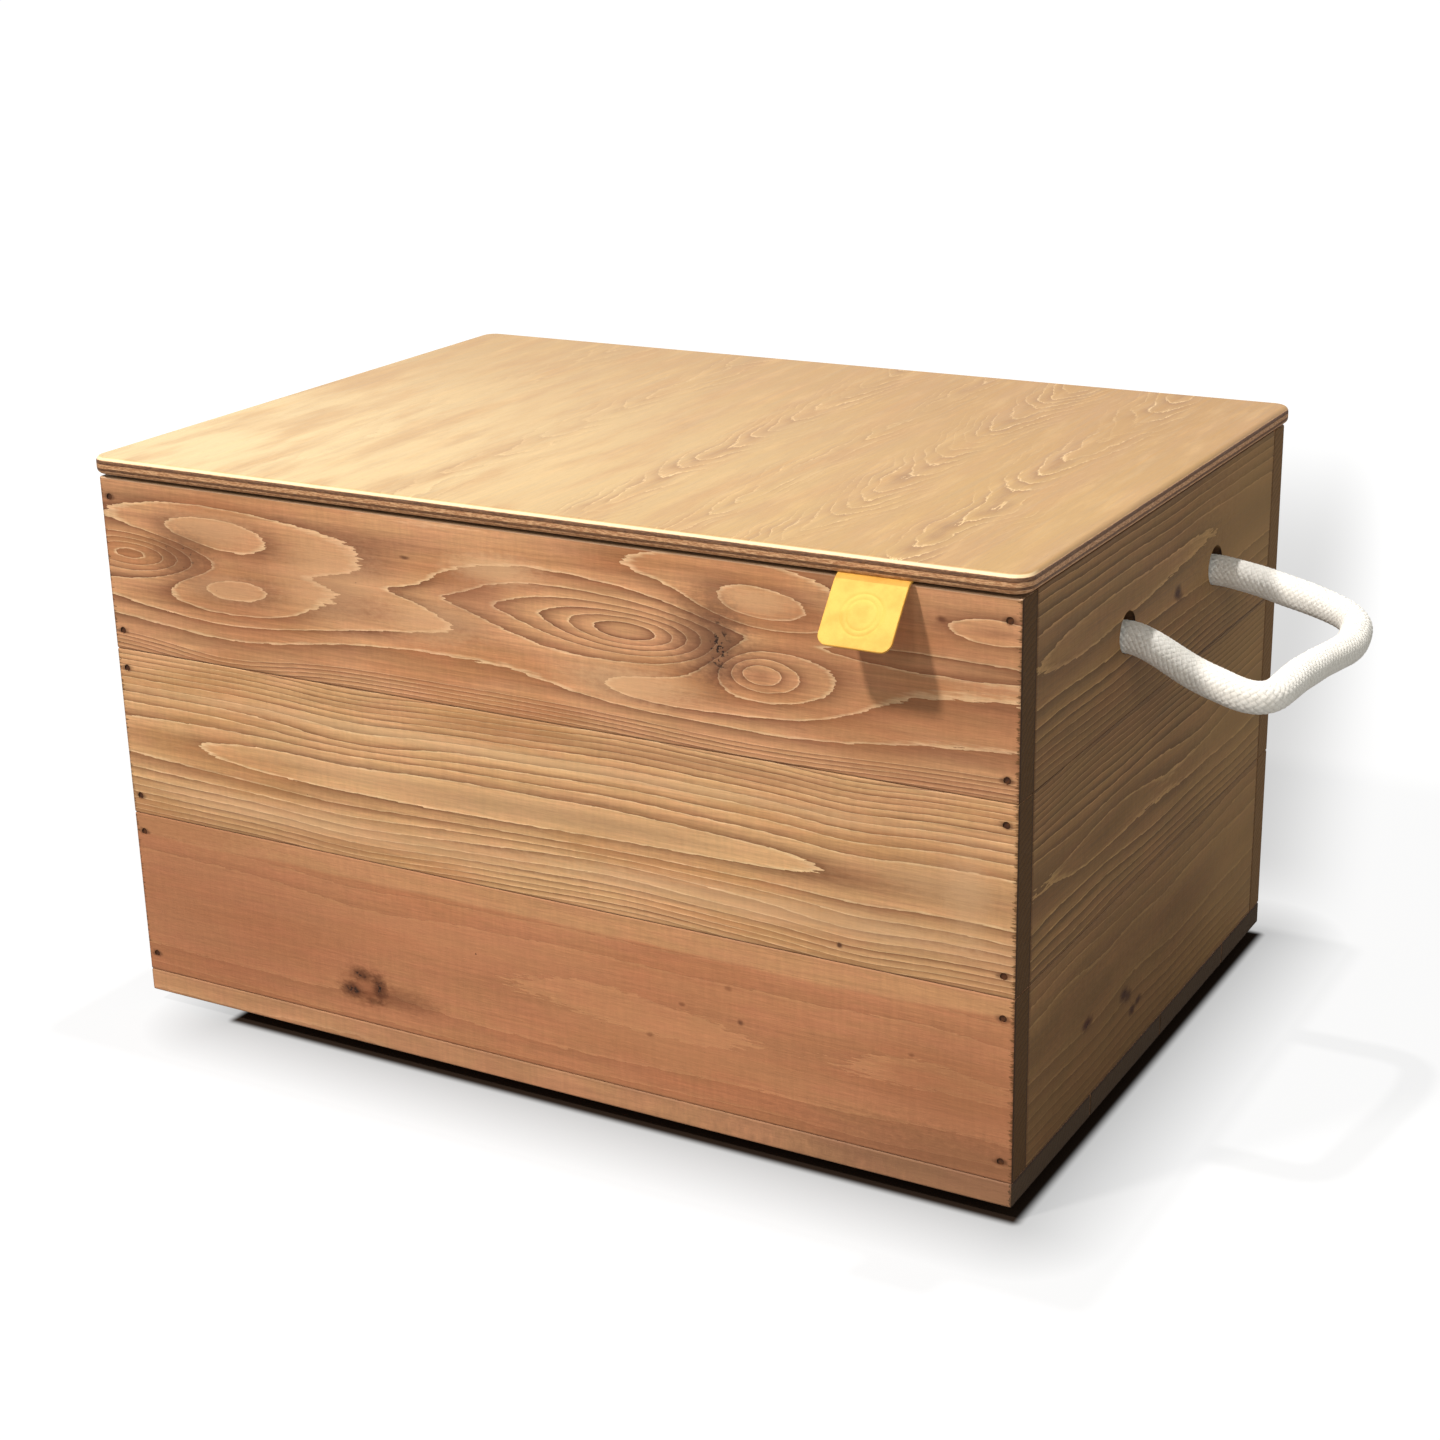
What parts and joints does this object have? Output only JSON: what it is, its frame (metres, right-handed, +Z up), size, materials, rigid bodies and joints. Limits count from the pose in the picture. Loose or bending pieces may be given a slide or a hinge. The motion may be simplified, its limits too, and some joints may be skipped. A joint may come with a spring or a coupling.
{
  "type": "chuck box",
  "caption": "Wooden camp chuck box: three boards to a side, a lift-off plywood lid with a leather pull tab, and rope loop handles at both ends.",
  "frame": {"origin": "on the floor, under the middle of the overall bounding box, handles and pull tab included", "axes": "+Z up, +X to the right along the long front, +Y from the front, where the pull tab is, to the back"},
  "size_m": [0.6618, 0.3708, 0.298],
  "materials": {
    "side_boards": "planed softwood, warm brown, strong figure",
    "end_boards": "planed softwood, olive brown, straight grain",
    "lid_plywood": "rotary-cut plywood, golden, dark and light plies on its edges",
    "floor_slats": "sawn softwood, paler than the walls",
    "inner_softwood": "sawn and planed softwood",
    "dark_nails": "dark, oxidised, sunk heads",
    "steel_fasteners": "zinc plated",
    "brass_tacks": "satin",
    "glide_plastic": "light grey, moulded",
    "cotton_rope": "white braided cotton",
    "yellow_leather": "smooth, bright yellow, cut edges"
  },
  "bodies": {
    "carcass": {"front_board_bottom": "side_boards", "front_board_middle": "side_boards", "front_board_top": "side_boards", "back_board_bottom": "side_boards", "back_board_middle": "side_boards", "back_board_top": "side_boards", "left_end_board_bottom": "end_boards", "left_end_board_middle": "end_boards", "left_end_board_top": "end_boards", "right_end_board_bottom": "end_boards", "right_end_board_middle": "end_boards", "right_end_board_top": "end_boards", "corner_post_front_left": "inner_softwood", "corner_post_front_right": "inner_softwood", "corner_post_back_left": "inner_softwood", "corner_post_back_right": "inner_softwood", "floor_slat_1": "floor_slats", "floor_slat_2": "floor_slats", "floor_slat_3": "floor_slats", "floor_slat_4": "floor_slats", "glide_front_left": "glide_plastic", "glide_front_right": "glide_plastic", "glide_back_left": "glide_plastic", "glide_back_right": "glide_plastic", "front_nails": "dark_nails", "back_nails": "dark_nails", "floor_nails": "steel_fasteners", "post_screws": "steel_fasteners", "left_handle_stubs": "cotton_rope", "left_handle_knots": "cotton_rope", "right_handle_stubs": "cotton_rope", "right_handle_knots": "cotton_rope"},
    "lid": {"lid_panel": "lid_plywood", "lid_cleat_left": "inner_softwood", "lid_cleat_right": "inner_softwood", "lid_cleat_screws": "steel_fasteners", "pull_tab_root": "yellow_leather", "pull_tab_tacks": "brass_tacks"},
    "pull_tab": {"pull_tab_flap": "yellow_leather"},
    "right_handle": {"right_handle_loop": "cotton_rope"},
    "left_handle": {"left_handle_loop": "cotton_rope"}
  },
  "joints": [
    {"name": "lid_lift", "type": "slide", "parent": "carcass", "child": "lid", "axis": [0, 0, 1], "range_m": [0, 0.3]},
    {"name": "pull_tab_bend", "type": "hinge", "parent": "lid", "child": "pull_tab", "pos_m": [0.181, -0.16439, 0.2884], "axis": [-1, 0, 0], "range_deg": [-38, 48]},
    {"name": "right_handle_swing", "type": "hinge", "parent": "carcass", "child": "right_handle", "pos_m": [0.2548, 0.01991, 0.2363], "axis": [0, -1, 0], "range_deg": [-60, 95]},
    {"name": "left_handle_swing", "type": "hinge", "parent": "carcass", "child": "left_handle", "pos_m": [-0.2548, 0.01991, 0.2363], "axis": [0, 1, 0], "range_deg": [-60, 95]}
  ]
}
